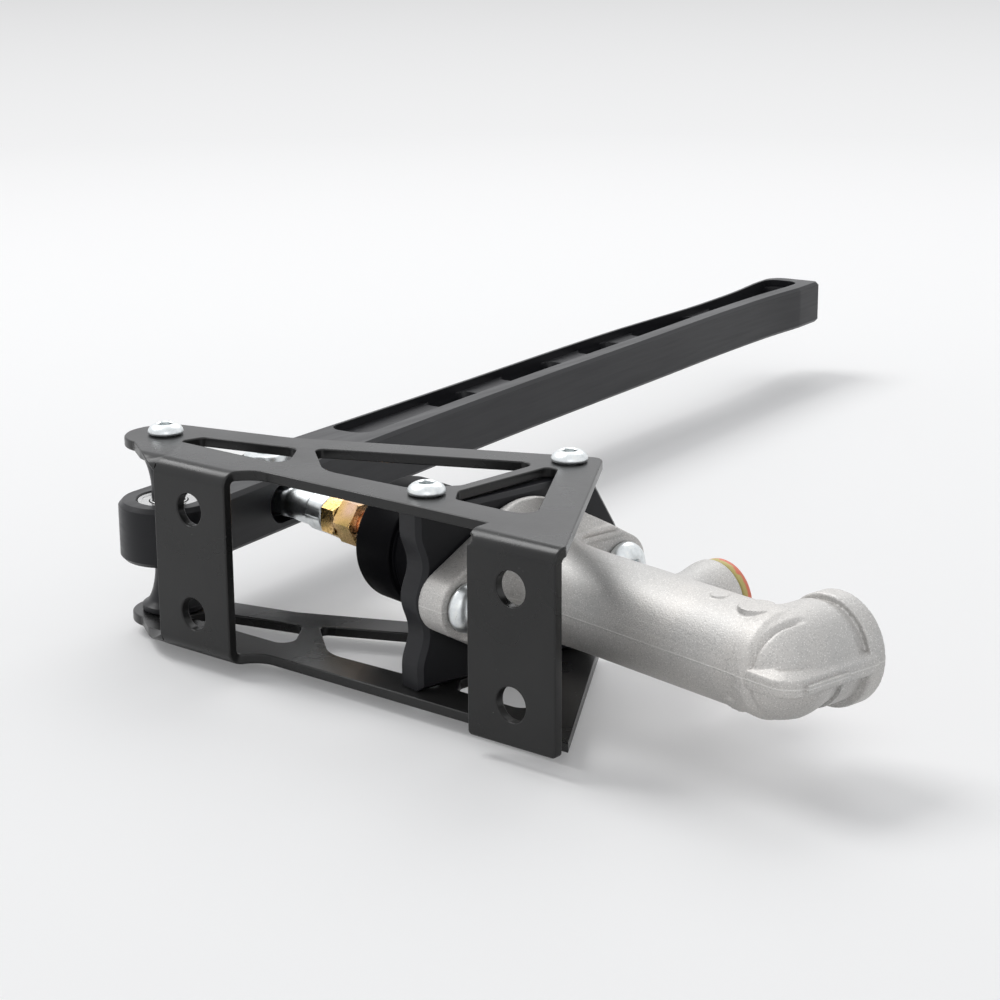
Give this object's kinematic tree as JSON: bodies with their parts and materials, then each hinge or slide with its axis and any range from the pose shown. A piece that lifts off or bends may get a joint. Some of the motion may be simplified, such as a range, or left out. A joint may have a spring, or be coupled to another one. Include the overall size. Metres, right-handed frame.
{
  "type": "parking brake lever",
  "caption": "Hydraulic hand brake on its side: long ribbed lever on bearings in a folded bracket, rod end and pushrod, cast master cylinder with elbow port.",
  "frame": {"origin": "middle of the pivot-side flange's mounting face, between its two bolt holes", "axes": "-Y out of the two mounting faces, +Y towards the lever's tip, +Z along the lever's pivot, up as the object lies; the cylinder runs towards +X"},
  "size_m": [0.2908, 0.4455, 0.0642],
  "materials": {
    "powder_coat": "semi-gloss black powder coat",
    "anodised_black": "black anodised",
    "zinc": "bright zinc plate",
    "yellow_zinc": "yellow zinc plate",
    "bearing_steel": "ground and polished",
    "cast_aluminium": "shot-blasted casting",
    "machined_aluminium": "turned",
    "rubber": "moulded, satin",
    "cap_plastic": "moulded, satin"
  },
  "bodies": {
    "bracket": {"bracket": "powder_coat", "pivot_axle": "zinc", "pivot_sleeve": "machined_aluminium", "spacer_upper": "anodised_black", "spacer_lower": "anodised_black", "pivot_screw_upper": "zinc", "pivot_screw_lower": "zinc", "bearing_upper_inner_race": "bearing_steel", "bearing_lower_inner_race": "bearing_steel", "bearing_upper_balls": "bearing_steel", "bearing_lower_balls": "bearing_steel", "plate_screw_near_upper": "zinc", "plate_screw_near_lower": "zinc", "plate_screw_far_upper": "zinc", "plate_screw_far_lower": "zinc", "adapter_plate": "anodised_black", "master_cylinder": "cast_aluminium", "flange_bolt_near": "zinc", "flange_bolt_far": "zinc", "outlet_cap": "cap_plastic", "retaining_clip": "bearing_steel", "stop_washer": "zinc", "boot": "rubber", "return_spring": "bearing_steel"},
    "lever": {"lever": "anodised_black", "bearing_upper_outer_race": "bearing_steel", "bearing_lower_outer_race": "bearing_steel", "rod_end_ball": "bearing_steel", "rod_bolt": "zinc", "rod_nut": "zinc"},
    "rod": {"rod_end": "zinc", "jam_nut": "yellow_zinc", "pushrod": "yellow_zinc"},
    "piston": {"piston": "machined_aluminium", "cup_seal_rear": "rubber", "cup_seal_front": "rubber"}
  },
  "joints": [
    {"name": "lever_hinge", "type": "hinge", "parent": "bracket", "child": "lever", "pos_m": [-0.032, 0.0215, 0], "axis": [0, 0, -1], "range_deg": [0, 20], "stiffness_Nm_per_rad": 4, "springref_deg": -5.73},
    {"name": "rod_hinge", "type": "hinge", "parent": "lever", "child": "rod", "pos_m": [-0.03742, 0.06768, 0], "axis": [0, 0, -1], "range_deg": [-18.9, 0]},
    {"name": "piston_slide", "type": "slide", "parent": "bracket", "child": "piston", "axis": [0.9854, -0.1704, 0], "range_m": [0, 0.0161], "deforming": ["return_spring"]}
  ],
  "couplings": [
    {"joint": "rod_hinge", "follows": "lever_hinge", "ratio": -0.94},
    {"joint": "piston_slide", "follows": "lever_hinge", "m_per_rad": 0.04598}
  ]
}
